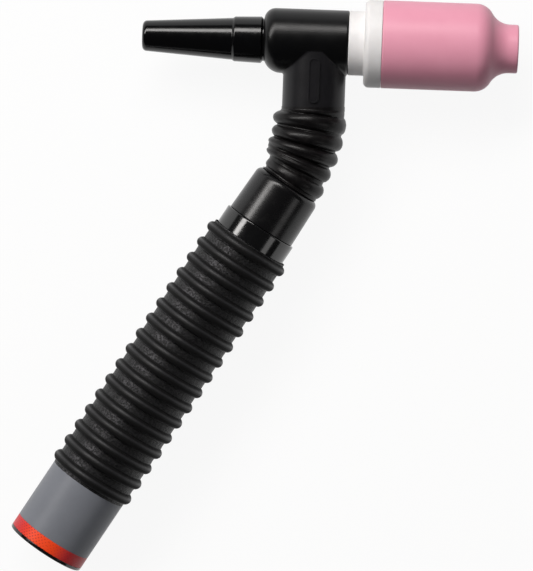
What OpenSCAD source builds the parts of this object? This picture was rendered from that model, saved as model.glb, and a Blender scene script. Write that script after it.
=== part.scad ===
/* [Fits] */
// Radial gap of a pressed, moulded or glued seat
seat_gap = 0.02; // [0.01:0.01:0.05]
// Radial gap of a screwed or sliding pair
running_gap = 0.05; // [0.02:0.01:0.08]
// Gap between end faces that part when a piece moves
face_gap = 0.3; // [0.2:0.05:0.5]

/* [Handle tube] */
// Outer diameter of the tube
tube_d = 26.8; // [24:0.1:27]
// Wall thickness of the tube
tube_wall = 1.4; // [1.2:0.1:2]
// Tube left bare between the grip and the neck shank
tube_bare_len = 7.7; // [2:0.1:20]
// Length of the end rim that the label sleeve seats on
rim_len = 1.2; // [0.8:0.1:3]
// Depth of the widened mouth where the cable cover goes in
mouth_depth = 18; // [10:1:30]
// How much wider the mouth is than the tube's bore
mouth_step = 0.6; // [0.2:0.1:1.2]

/* [Label sleeve] */
// Length of the label sleeve
label_len = 26.7; // [15:0.1:40]
// Wall thickness of the label sleeve
label_wall = 0.84; // [0.5:0.01:0.9]

/* [Ribbed grip] */
// Number of ribs
rib_count = 16; // [6:1:24]
// Distance from rib to rib
rib_pitch = 6.4; // [5:0.05:9]
// Height of the ribs above the sleeve between them
rib_height = 1.5; // [1:0.05:1.6]
// Wall thickness of the sleeve between the ribs
grip_wall = 0.86; // [0.6:0.01:1.2]
// Half the width of a rib, which is also its crest radius
rib_r = 1.8; // [1.7:0.05:2]
// Plain sleeve past the middle of each end rib
grip_end_len = 2; // [2:0.1:6]

/* [Neck shank] */
// Length of shank that shows above the tube
shank_len = 17.5; // [8:0.1:30]
// How far the shank's surface lies inside the tube's
shank_inset = 0.8; // [0.2:0.05:1]
// How far the shank draws in on its way to the bellows
shank_narrowing = 0.45; // [0.1:0.05:1]
// Rounding of the shank's shoulder
shank_round = 2.4; // [0.5:0.1:3]
// Length of the plug that seats in the handle tube
plug_len = 30; // [15:1:60]

/* [Neck] */
// Bend of the neck at rest
neck_bend = 31.7; // [10:0.1:50]
// Length of the bellows along its middle
neck_len = 27.5; // [22:0.1:40]
// Number of rings in the bellows
ring_count = 5; // [3:1:8]
// How far the first ring lies inside the shank's surface
ring_inset = 0.5; // [0:0.05:0.8]
// How far the rings grow on their way to the head
ring_growth = 1; // [0:0.05:1.6]
// Depth of the grooves between rings
ring_depth = 1.7; // [0.6:0.1:2.4]
// Exponent of the ring's wave, lower for fuller rings
ring_exponent = 0.7; // [0.5:0.05:1]
// Wall thickness of the bellows in its grooves
bellows_wall = 1; // [0.7:0.05:1.2]
// Outer diameter of the flexible conduit
conduit_d = 9.2; // [7:0.1:10]
// Bore of the flexible conduit
conduit_bore = 6; // [3:0.1:6.2]
// Depth of the conduit in the socket at each of its ends
socket_depth = 6; // [3:0.1:8]
// Ratio of the conduit's stiff middle stretch to the whole neck
conduit_mid_ratio = 0.3; // [0.2:0.05:0.4]
// Outer diameter of the ferrules and of the tubes they end on
ferrule_d = 12.8; // [12:0.1:14]
// Length of a ferrule
ferrule_len = 5.2; // [3:0.1:6]

/* [Cable adaptor] */
// Width across the flats of the adaptor's nut
nut_af = 15; // [14:0.5:19]
// Length of the nut
nut_len = 6; // [4:0.5:10]
// Diameter of the power cable's thread
thread_d = 9.52; // [8:0.02:12]
// Length of the power cable's thread
thread_len = 9.5; // [6:0.5:15]
// Passage for gas through the adaptor
passage_d = 5; // [3:0.1:5.5]

/* [Torch head] */
// Diameter of the head's barrel
barrel_d = 22.4; // [21.8:0.1:26]
// Barrel length from the stem's axis to the front face
barrel_front = 11.4; // [11:0.1:16]
// Barrel length from the stem's axis to the rear face
barrel_rear = 18; // [16:0.1:24]
// Rounding of the barrel's rear end
barrel_round = 4; // [1:0.1:4.2]
// Diameter of the stem
stem_d = 21.2; // [20:0.1:21.7]
// Length of the stem from the barrel's axis to the bellows
stem_len = 23.5; // [20:0.1:32]
// Length of the raised pad on the stem
pad_len = 15.7; // [8:0.1:15.7]
// Width of the raised pad
pad_w = 3.7; // [2:0.1:6]
// Height of the raised pad
pad_h = 0.35; // [0.1:0.05:0.6]
// Distance from the barrel's axis to the pad's near end
pad_start = 6.6; // [5:0.1:7]

/* [Head core] */
// Diameter of the brass core's barrel
core_d = 16.4; // [15.6:0.1:17]
// Thickness of the cover behind the core
cover_rear_wall = 3.5; // [3:0.1:4]
// Diameter of the threaded hole for the gas lens
lens_neck_d = 10; // [9.6:0.1:11]
// Length of the gas lens neck in the core
lens_neck_len = 7.7; // [5:0.1:8]
// Diameter of the threaded stub of the back cap
stub_d = 11.2; // [10.4:0.1:11.8]
// Depth of the threaded hole for the back cap
stub_depth = 8.5; // [7:0.1:9.5]
// Passage round the collet between the two threads
collet_passage_d = 7.2; // [6.6:0.1:8]

/* [Back cap] */
// Free space in the cap behind the electrode
cap_end_space = 2; // [1:0.1:20]
// Room round the electrode inside the cap
cap_room = 0.6; // [0.3:0.1:0.8]
// Length of the cap's collar
collar_len = 10.5; // [6:0.1:14]
// Collar diameter next to the head
collar_front_d = 16.2; // [16:0.1:17]
// Collar diameter next to the taper
collar_rear_d = 15.5; // [14.8:0.1:15.8]
// Chamfer of the collar next to the head
collar_chamfer = 0.6; // [0.2:0.1:0.6]
// Largest diameter of the taper
taper_front_d = 14.5; // [13:0.1:14.8]
// Smallest diameter of the taper
taper_rear_d = 10.4; // [9:0.1:12]
// Rounding of the cap's closed end
cap_round = 1.5; // [0.5:0.1:2.5]
// Thickness of the cap's closed end
cap_end_wall = 3; // [2:0.1:5]
// Cross-section diameter of the sealing ring
seal_w = 1.9; // [1.5:0.05:2]

/* [Gas lens] */
// Diameter of the gas lens housing
lens_d = 25.6; // [24.4:0.1:26.4]
// Length of the gas lens housing
lens_len = 14; // [12:0.1:18]
// Wall thickness of the gas lens housing
lens_wall = 1; // [0.8:0.1:1.4]
// Diameter of the neck inside the insulator
lens_collar_d = 14; // [12.5:0.1:16]
// Diameter of the hub that guides the collet
hub_d = 8.4; // [8:0.1:10]
// Number of screens
screen_count = 4; // [2:1:5]
// Thickness of a screen
screen_t = 0.5; // [0.3:0.05:0.6]
// Distance from screen to screen
screen_pitch = 0.8; // [0.7:0.05:0.9]
// Thickness of the ring that holds the screens
screen_ring_t = 0.8; // [0.5:0.1:1.2]
// Width of the ring that holds the screens
screen_ring_w = 1.5; // [0.8:0.1:2.5]
// Number of gas holes in the hub
gas_hole_count = 6; // [4:1:8]
// Diameter of a gas hole
gas_hole_d = 1.6; // [1:0.1:2]

/* [Collet and electrode] */
// Diameter of the collet
collet_d = 5.9; // [5:0.1:6.2]
// Width of the collet's slots
slot_w = 0.5; // [0.3:0.05:0.8]
// Length of the collet's slots
slot_len = 19; // [10:0.5:24]
// Diameter of the electrode
electrode_d = 3.2; // [1.6:0.1:3.4]
// Length of the electrode
electrode_len = 120; // [100:1:122]
// Length of the electrode's ground point
electrode_tip_len = 7; // [4:0.5:10]
// Diameter of the flat at the very point
electrode_flat_d = 0.4; // [0.1:0.1:0.8]
// Distance of the point behind the nozzle's mouth
electrode_recess = 5; // [4.6:0.1:7]

/* [Insulator] */
// Diameter of the insulator next to the head
insulator_low_d = 22.3; // [20:0.1:24]
// Length of the insulator's narrow part
insulator_low_len = 5.5; // [3:0.1:8]
// Diameter of the insulator's collar
insulator_d = 30.3; // [29:0.1:31]
// Length of the insulator's collar
insulator_len = 6.1; // [5.5:0.1:10]
// Rounding of the collar's rear edge
insulator_round = 1.8; // [0.4:0.1:2]
// Depth of the recess that takes the gas lens housing
insulator_recess = 3; // [1.5:0.1:4]

/* [Nozzle] */
// Diameter of the nozzle
nozzle_d = 30.4; // [30:0.1:34]
// Length of the nozzle
nozzle_len = 47; // [42:0.1:60]
// Bore of the nozzle's mouth
nozzle_bore = 12.7; // [12.5:0.1:13.2]
// Outer diameter of the nozzle's mouth
nozzle_tip_d = 16.8; // [15.6:0.1:18]
// Length of the straight tip
nozzle_tip_len = 3; // [2:0.1:8]
// Radius of the outer shoulder
shoulder_r = 6.4; // [4:0.1:7]
// Steepest slope of the shoulder
shoulder_slope = 60; // [50:1:70]
// Width of the lip that the gas lens stops against
nozzle_lip = 0.6; // [0.4:0.1:1]
// Rounding of the nozzle's ends
nozzle_round = 0.6; // [0.2:0.1:1]

/* [Hidden] */

$fn = 96;
// steps of an arc that is drawn as a polygon
arc_steps = 8;
// how far a cutting shape runs past the face it opens
past = 1;

// Handle: distances run along its axis from the open end
tube_bore = tube_d - 2 * tube_wall;
label_d = tube_d + 2 * seat_gap + 2 * label_wall;
grip_d = tube_d + 2 * seat_gap + 2 * grip_wall;
rib_d = grip_d + 2 * rib_height;
grip_len = (rib_count - 1) * rib_pitch + 2 * grip_end_len;
label_start = rim_len;
grip_start = label_start + label_len;
tube_len = grip_start + grip_len + tube_bare_len;
shank_end = tube_len + shank_len;
shank_low_d = tube_d - 2 * shank_inset;
shank_top_d = shank_low_d - 2 * shank_narrowing;
ring_low_d = shank_top_d - 2 * ring_inset;
bellows_bore = ring_low_d - 2 * (ring_depth + bellows_wall);
plug_d = tube_bore - 2 * seat_gap;
plug_start = tube_len - plug_len;
socket_d = conduit_d + 2 * seat_gap;
ferrule_start = shank_end - face_gap - ferrule_len;
nut_start = plug_start - nut_len;
thread_start = nut_start - thread_len;

// Neck: an arc in the XY plane from the handle's direction round to +Y
neck_r = neck_len / (neck_bend * PI / 180);
handle_angle = 90 - neck_bend;
neck_start = shank_end * [cos(handle_angle), sin(handle_angle)];
neck_centre = neck_start + neck_r * [-sin(handle_angle), cos(handle_angle)];
head_pos = neck_centre + [neck_r, stem_len];
ring_steps = 6;
bellows_sides = 24;

// Head: distances run along its axis from the stem towards the nozzle
core_rear = -barrel_rear + cover_rear_wall;
stub_floor = core_rear + stub_depth;
stub_tip = stub_floor - face_gap;
stub_bore = stub_d + 2 * running_gap;
neck_floor = barrel_front - lens_neck_len;
core_stem_len = stem_len - face_gap - ferrule_len;
cap_face = -barrel_rear - face_gap;
cap_bore = electrode_d + 2 * cap_room;
rear_opening = stub_d + 2 * (seal_w + 2 * running_gap);
nose_d = rear_opening - 2 * face_gap;
seal_z = core_rear - running_gap - seal_w / 2;
nose_end = seal_z - seal_w / 2 - running_gap;
collar_end = barrel_front + insulator_low_len;
insulator_end = collar_end + insulator_len;
lens_start = insulator_end - insulator_recess;
lens_end = lens_start + lens_len;
screen_seat = lens_end - screen_ring_t - face_gap - screen_count * screen_pitch;
screen_bore = lens_d - 2 * lens_wall;
plenum_d = screen_bore - 2 * lens_wall;
collet_bore = collet_d + 2 * running_gap;
hub_bore = electrode_d + 2 * face_gap;
cone_len = collet_bore - hub_bore;
cone_start = lens_end - 2 * screen_ring_t - cone_len;
collet_rear = stub_tip + face_gap;
nozzle_end = insulator_end + nozzle_len;
nozzle_seat_d = lens_d + 2 * running_gap;
chamber_d = nozzle_seat_d - 2 * nozzle_lip;
tip_curve_r = (nozzle_d / 2 - nozzle_tip_d / 2) / (1 - cos(shoulder_slope)) - shoulder_r;
shoulder_end = nozzle_end - nozzle_tip_len;
shoulder_start = shoulder_end - (shoulder_r + tip_curve_r) * sin(shoulder_slope);
throat_start = shoulder_end - tip_curve_r * sin(shoulder_slope) + nozzle_lip;
electrode_front = nozzle_end - electrode_recess;
electrode_rear = electrode_front - electrode_len;
cap_end = electrode_rear - cap_end_space - cap_end_wall;

// Points along an arc about c from angle a to angle b
function arc(c, r, a, b) = [
    for (i = [0 : arc_steps]) let (t = a + (b - a) * i / arc_steps) c + r * [cos(t), sin(t)]
];

// A place in the neck: f runs along it from 0 to 1, a turns round it, r is the distance from its middle
function neck_point(f, a, r) =
    let (p = -neck_bend * (1 - f), out = neck_r + r * cos(a))
    [neck_centre.x + out * cos(p), neck_centre.y + out * sin(p), r * sin(a)];

// Outer radius of the bellows: rounded rings that grow towards the head
function bellows_radius(f) =
    let (crest = ring_low_d / 2 + ring_growth * f)
    let (wave = (1 - cos(360 * f * ring_count)) / 2)
    crest - ring_depth * (1 - pow(wave, ring_exponent));

module on_handle(z = 0)
    rotate([0, 0, handle_angle]) translate([z, 0, 0]) rotate([0, 90, 0]) children();

module on_head(z = 0)
    translate([head_pos.x + z, head_pos.y, 0]) rotate([0, 90, 0]) children();

// Down the stem, away from the barrel
module on_stem(z = 0)
    translate([head_pos.x, head_pos.y - z, 0]) rotate([90, 0, 0]) children();

// A length of the neck's arc, from share f0 to share f1 of it
module on_neck(f0, f1)
    translate([neck_centre.x, neck_centre.y, 0])
        rotate([0, 0, -neck_bend * (1 - f0)])
            rotate_extrude(angle = neck_bend * (f1 - f0))
                translate([neck_r, 0]) children();

module pipe(d, bore, h)
    difference() {
        cylinder(d = d, h = h);
        translate([0, 0, -past]) cylinder(d = bore, h = h + 2 * past);
    }

// A round bar that runs straight to the origin, along +X, and then bends to the left
module bent_bar(d, straight, bend) {
    rotate([0, -90, 0]) cylinder(d = d, h = straight);
    translate([0, neck_r]) rotate([0, 0, -90])
        rotate_extrude(angle = bend) translate([neck_r, 0]) circle(d = d);
}

// One end of the conduit: a straight length in its seat, and a share of the neck's bend
module conduit_end(straight, share)
    difference() {
        bent_bar(conduit_d, straight, neck_bend * share);
        bent_bar(conduit_bore, straight + past, neck_bend * share);
    }

module handle_tube()
    color([0.05, 0.05, 0.06])
        on_handle() difference() {
            union() {
                cylinder(d = tube_d, h = tube_len);
                cylinder(d = label_d, h = rim_len);
            }
            translate([0, 0, -past]) cylinder(d = tube_bore, h = tube_len + 2 * past);
            translate([0, 0, -past]) cylinder(d = tube_bore + mouth_step, h = mouth_depth + past);
        }

module label_sleeve()
    color([0.5, 0.53, 0.56])
        on_handle(label_start) pipe(label_d, tube_d + 2 * seat_gap, label_len);

module ribbed_grip()
    color([0.13, 0.13, 0.14])
        on_handle(grip_start) difference() {
            rotate_extrude() {
                square([grip_d / 2, grip_len]);
                for (i = [0 : rib_count - 1])
                    intersection() {
                        translate([rib_d / 2 - rib_r, grip_end_len + i * rib_pitch]) circle(r = rib_r);
                        square([rib_d, grip_len]);
                    }
            }
            translate([0, 0, -past]) cylinder(d = tube_d + 2 * seat_gap, h = grip_len + 2 * past);
        }

module neck_shank()
    color([0.1, 0.1, 0.11])
        on_handle() difference() {
            rotate_extrude() polygon(concat(
                [[0, plug_start], [plug_d / 2, plug_start]],
                [[plug_d / 2, tube_len], [shank_low_d / 2, tube_len]],
                arc([shank_top_d / 2 - shank_round, shank_end - shank_round], shank_round, 0, 90),
                [[0, shank_end]]
            ));
            translate([0, 0, plug_start - past]) cylinder(d = ferrule_d + 2 * seat_gap, h = shank_end);
        }

module cable_adaptor()
    color([0.78, 0.62, 0.3])
        on_handle() difference() {
            union() {
                translate([0, 0, thread_start]) cylinder(d = thread_d, h = thread_len + past);
                translate([0, 0, nut_start]) cylinder(d = nut_af / cos(30), h = nut_len, $fn = 6);
                translate([0, 0, plug_start]) cylinder(d = ferrule_d, h = ferrule_start - plug_start);
            }
            translate([0, 0, thread_start - past]) cylinder(d = passage_d, h = shank_end);
            translate([0, 0, ferrule_start - socket_depth])
                cylinder(d = socket_d, h = socket_depth + past);
        }

module lower_ferrule()
    color([0.72, 0.45, 0.3])
        on_handle(ferrule_start) pipe(ferrule_d, socket_d, ferrule_len);

module conduit_lower()
    color([0.72, 0.45, 0.3])
        translate(neck_start) rotate([0, 0, handle_angle])
            conduit_end(shank_end - ferrule_start + socket_depth, (1 - conduit_mid_ratio) / 2);

module conduit_middle()
    color([0.72, 0.45, 0.3])
        on_neck((1 - conduit_mid_ratio) / 2, (1 + conduit_mid_ratio) / 2)
            difference() {
                circle(d = conduit_d);
                circle(d = conduit_bore);
            }

module conduit_upper()
    color([0.72, 0.45, 0.3])
        translate(head_pos - [0, stem_len]) rotate([0, 0, -90]) mirror([0, 1, 0])
            conduit_end(stem_len - core_stem_len + socket_depth, (1 - conduit_mid_ratio) / 2);

// Outer and inner skins as rings of points along the neck, joined at both ends
module neck_bellows() {
    steps = ring_count * ring_steps;
    sides = bellows_sides;
    inner = (steps + 1) * sides;
    end_gap = face_gap / neck_len;
    function along(i) = end_gap + (1 - 2 * end_gap) * i / steps;
    function skin_radius(skin, f) = skin == 0 ? bellows_radius(f) : bellows_bore / 2;
    function at(skin, i, k) = skin * inner + i * sides + k % sides;
    skin_points = [
        for (skin = [0, 1]) for (i = [0 : steps]) for (k = [0 : sides - 1])
            neck_point(along(i), 360 * k / sides, skin_radius(skin, i / steps))
    ];
    skin_faces = [
        for (skin = [0, 1]) for (i = [0 : steps - 1]) for (k = [0 : sides - 1]) for (half = [0, 1])
            let (a = at(skin, i, k), b = at(skin, i, k + 1))
            let (c = at(skin, i + 1, k + 1), d = at(skin, i + 1, k))
            let (face = half == 0 ? [a, b, c] : [a, c, d])
            skin == 0 ? face : [face[2], face[1], face[0]]
    ];
    end_faces = [
        for (i = [0, steps]) for (k = [0 : sides - 1]) for (half = [0, 1])
            let (a = at(0, i, k), b = at(0, i, k + 1), c = at(1, i, k + 1), d = at(1, i, k))
            let (face = half == 0 ? [a, c, b] : [a, d, c])
            i == 0 ? face : [face[2], face[1], face[0]]
    ];
    color([0.09, 0.09, 0.1]) polyhedron(skin_points, concat(skin_faces, end_faces));
}

module upper_ferrule()
    color([0.72, 0.45, 0.3])
        on_stem(core_stem_len) pipe(ferrule_d, socket_d, ferrule_len);

module head_core()
    color([0.78, 0.62, 0.3])
        difference() {
            union() {
                on_head(core_rear) cylinder(d = core_d, h = barrel_front - core_rear);
                on_stem() cylinder(d = ferrule_d, h = core_stem_len);
            }
            on_head(core_rear - past) cylinder(d = stub_bore, h = stub_depth + past);
            on_head(stub_floor - past)
                cylinder(d = collet_passage_d, h = neck_floor - stub_floor + 2 * past);
            on_head(neck_floor) cylinder(d = lens_neck_d + 2 * seat_gap, h = lens_neck_len + past);
            on_stem() cylinder(d = conduit_bore, h = core_stem_len + past);
            on_stem(core_stem_len - socket_depth) cylinder(d = socket_d, h = socket_depth + past);
        }

module slot_2d(len, w) {
    for (y = [w / 2, len - w / 2]) translate([0, y]) circle(d = w);
    translate([-w / 2, w / 2]) square([w, len - w]);
}

module head_cover()
    color([0.11, 0.11, 0.12])
        difference() {
            union() {
                on_head() rotate_extrude() polygon(concat(
                    [[0, barrel_front], [barrel_d / 2, barrel_front]],
                    arc([barrel_d / 2 - barrel_round, -barrel_rear + barrel_round], barrel_round, 0, -90),
                    [[0, -barrel_rear]]
                ));
                on_stem() cylinder(d = stem_d, h = stem_len);
                intersection() {
                    on_stem() cylinder(d = stem_d + 2 * pad_h, h = stem_len);
                    translate([head_pos.x, head_pos.y - pad_start - pad_len, 0])
                        linear_extrude(height = stem_d) slot_2d(pad_len, pad_w);
                }
            }
            on_head(core_rear) cylinder(d = core_d + 2 * seat_gap, h = barrel_front - core_rear + past);
            on_head(-barrel_rear - past) cylinder(d = rear_opening, h = cover_rear_wall + 2 * past);
            on_stem() cylinder(d = ferrule_d + 2 * seat_gap, h = stem_len + past);
        }

module back_cap()
    color([0.03, 0.03, 0.035])
        on_head() difference() {
            rotate_extrude() polygon(concat(
                [[0, cap_end]],
                arc([taper_rear_d / 2 - cap_round, cap_end + cap_round], cap_round, -90, 0),
                [
                    [taper_front_d / 2, cap_face - collar_len],
                    [collar_rear_d / 2, cap_face - collar_len],
                    [collar_front_d / 2, cap_face - collar_chamfer],
                    [collar_front_d / 2 - collar_chamfer, cap_face],
                    [nose_d / 2, cap_face],
                    [nose_d / 2, nose_end],
                    [stub_d / 2, nose_end],
                    [stub_d / 2, stub_tip],
                    [0, stub_tip]
                ]
            ));
            translate([0, 0, electrode_rear - cap_end_space])
                cylinder(d = cap_bore, h = stub_tip - electrode_rear + cap_end_space + past);
        }

module cap_seal()
    color([0.15, 0.1, 0.08])
        on_head(seal_z) rotate_extrude()
            translate([stub_d / 2 + running_gap + seal_w / 2, 0]) circle(d = seal_w);

module gas_lens_body()
    color([0.8, 0.52, 0.34])
        on_head() difference() {
            union() {
                translate([0, 0, neck_floor + face_gap]) cylinder(d = lens_neck_d, h = lens_neck_len);
                translate([0, 0, barrel_front])
                    cylinder(d = lens_collar_d, h = lens_start - barrel_front + past);
                difference() {
                    translate([0, 0, lens_start]) cylinder(d = lens_d, h = lens_len);
                    translate([0, 0, lens_start + 2 * lens_wall]) cylinder(d = plenum_d, h = lens_len);
                    translate([0, 0, screen_seat]) cylinder(d = screen_bore, h = lens_len);
                }
                translate([0, 0, lens_start]) cylinder(d = hub_d, h = lens_len - face_gap);
            }
            cylinder(d = collet_bore, h = cone_start);
            translate([0, 0, cone_start - seat_gap])
                cylinder(d1 = collet_bore, d2 = hub_bore, h = cone_len);
            translate([0, 0, cone_start]) cylinder(d = hub_bore, h = lens_len);
            for (i = [0 : gas_hole_count - 1])
                translate([0, 0, lens_start + 2 * lens_wall + gas_hole_d])
                    rotate([0, 90, 360 * i / gas_hole_count])
                        cylinder(d = gas_hole_d, h = plenum_d / 2 - lens_wall);
        }

module lens_screens()
    color([0.75, 0.75, 0.76])
        for (i = [0 : screen_count - 1])
            on_head(screen_seat + i * screen_pitch)
                pipe(screen_bore - 2 * seat_gap, hub_d + 2 * seat_gap, screen_t);

module screen_ring()
    color([0.8, 0.52, 0.34])
        on_head(lens_end - face_gap - screen_ring_t)
            pipe(screen_bore - 2 * seat_gap, screen_bore - 2 * screen_ring_w, screen_ring_t);

module collet()
    color([0.8, 0.52, 0.34])
        on_head() difference() {
            union() {
                translate([0, 0, collet_rear])
                    cylinder(d = collet_d, h = cone_start - face_gap - collet_rear);
                translate([0, 0, cone_start - face_gap])
                    cylinder(d1 = collet_d, d2 = hub_bore, h = cone_len);
            }
            translate([0, 0, collet_rear - past])
                cylinder(d = electrode_d + 2 * running_gap, h = lens_end - collet_rear + past);
            for (turn = [0, 90])
                rotate([0, 0, turn]) translate([-collet_d, -slot_w / 2, cone_start - slot_len])
                    cube([2 * collet_d, slot_w, slot_len + cone_len + past]);
        }

module electrode()
    color([0.62, 0.62, 0.64])
        on_head() {
            translate([0, 0, electrode_rear])
                cylinder(d = electrode_d, h = electrode_len - electrode_tip_len);
            translate([0, 0, electrode_front - electrode_tip_len])
                cylinder(d1 = electrode_d, d2 = electrode_flat_d, h = electrode_tip_len);
        }

module nozzle_insulator()
    color([0.95, 0.94, 0.92])
        on_head() difference() {
            rotate_extrude() polygon(concat(
                [[0, barrel_front], [insulator_low_d / 2, barrel_front]],
                [[insulator_low_d / 2, collar_end]],
                arc([insulator_d / 2 - insulator_round, collar_end + insulator_round],
                    insulator_round, -90, 0),
                [[insulator_d / 2, insulator_end], [0, insulator_end]]
            ));
            translate([0, 0, barrel_front - past])
                cylinder(d = lens_collar_d + 2 * seat_gap, h = insulator_end);
            translate([0, 0, lens_start])
                cylinder(d = lens_d + 2 * seat_gap, h = insulator_recess + past);
        }

module gas_nozzle()
    color([0.93, 0.66, 0.72])
        on_head() difference() {
            rotate_extrude() polygon(concat(
                [[0, insulator_end], [nozzle_d / 2, insulator_end]],
                arc([nozzle_d / 2 - shoulder_r, shoulder_start], shoulder_r, 0, shoulder_slope),
                arc([nozzle_tip_d / 2 + tip_curve_r, shoulder_end],
                    tip_curve_r, 180 + shoulder_slope, 180),
                arc([nozzle_tip_d / 2 - nozzle_round, nozzle_end - nozzle_round], nozzle_round, 0, 90),
                [[0, nozzle_end]]
            ));
            translate([0, 0, insulator_end - past])
                cylinder(d = nozzle_seat_d, h = lens_end + face_gap - insulator_end + past);
            translate([0, 0, insulator_end]) cylinder(d = chamber_d, h = shoulder_start - insulator_end);
            translate([0, 0, shoulder_start - seat_gap])
                cylinder(d1 = chamber_d, d2 = nozzle_bore, h = throat_start - shoulder_start);
            translate([0, 0, shoulder_start]) cylinder(d = nozzle_bore, h = nozzle_len);
        }

handle_tube();
label_sleeve();
ribbed_grip();
neck_shank();
cable_adaptor();
lower_ferrule();
conduit_lower();
conduit_middle();
conduit_upper();
neck_bellows();
upper_ferrule();
head_core();
head_cover();
back_cap();
cap_seal();
gas_lens_body();
lens_screens();
screen_ring();
collet();
electrode();
nozzle_insulator();
gas_nozzle();
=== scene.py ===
import math

import bmesh
import bpy
from mathutils import Matrix, Vector, noise


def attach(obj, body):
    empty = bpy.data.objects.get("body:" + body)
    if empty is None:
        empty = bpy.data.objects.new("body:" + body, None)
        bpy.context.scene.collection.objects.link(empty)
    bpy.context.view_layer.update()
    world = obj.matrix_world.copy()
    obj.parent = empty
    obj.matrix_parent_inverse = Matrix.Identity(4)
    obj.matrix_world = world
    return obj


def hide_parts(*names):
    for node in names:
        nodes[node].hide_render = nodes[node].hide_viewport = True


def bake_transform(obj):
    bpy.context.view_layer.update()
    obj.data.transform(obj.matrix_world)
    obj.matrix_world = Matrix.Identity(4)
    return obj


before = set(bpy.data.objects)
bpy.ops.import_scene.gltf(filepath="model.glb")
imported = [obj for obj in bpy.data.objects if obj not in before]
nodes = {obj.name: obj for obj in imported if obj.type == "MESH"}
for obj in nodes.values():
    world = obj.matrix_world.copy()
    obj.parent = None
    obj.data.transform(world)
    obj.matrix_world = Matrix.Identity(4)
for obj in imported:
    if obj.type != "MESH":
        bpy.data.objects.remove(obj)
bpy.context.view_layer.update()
mm = 0.001

# The torch lies on its side: head along +X, stem along -Y, handle down to the origin
layout = dict(
    handleAngle=58.3,  # degrees from +X
    head=(87.8651, 179.8775, 0),  # where the head's axis meets the stem's, in mm
    neckCentre=(38.1605, 156.3775, 0),
    neckRadius=49.7045,
    neckBend=31.7,
)
handlePlace = dict(at=(0, 0, 0), turn=(0, math.radians(90), math.radians(layout["handleAngle"])))
headPlace = dict(at=layout["head"], turn=(0, math.radians(90), 0))
stemPlace = dict(at=layout["head"], turn=(math.radians(90), 0, 0))
rowPlace = dict(at=(0, 0, 0), turn=(0, 0, 0))  # for what is already in its place
tolerance = 0.01  # mm


def linear(red, green, blue):
    # a colour as seen on a screen, 0 to 255, as the shader takes it
    def one(value):
        value /= 255
        return value / 12.92 if value <= 0.04045 else ((value + 0.055) / 1.055) ** 2.4
    return (one(red), one(green), one(blue), 1)


def limited(value):
    return max(0, min(1, value))


def eased(value):
    # from 0 to 1 with a slow start and a slow end
    return value * value * (3 - 2 * value)


# Shader maths


class Wire:
    # one output socket, so that sums can be written as sums
    def __init__(self, finish, socket):
        self.finish = finish
        self.socket = socket

    def math(self, operation, *others):
        inputs = dict(enumerate((self, *others)))
        return self.finish.add("ShaderNodeMath", {"operation": operation}, inputs)

    def __add__(self, other):
        return self.math("ADD", other)

    __radd__ = __add__

    def __mul__(self, other):
        return self.math("MULTIPLY", other)

    __rmul__ = __mul__

    def __sub__(self, other):
        return self.math("SUBTRACT", other)

    def __rsub__(self, other):
        return self.finish.add("ShaderNodeMath", {"operation": "SUBTRACT"}, {0: other, 1: self})

    def __truediv__(self, other):
        return self.math("DIVIDE", other)

    def __pow__(self, other):
        return self.math("POWER", other)


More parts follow.
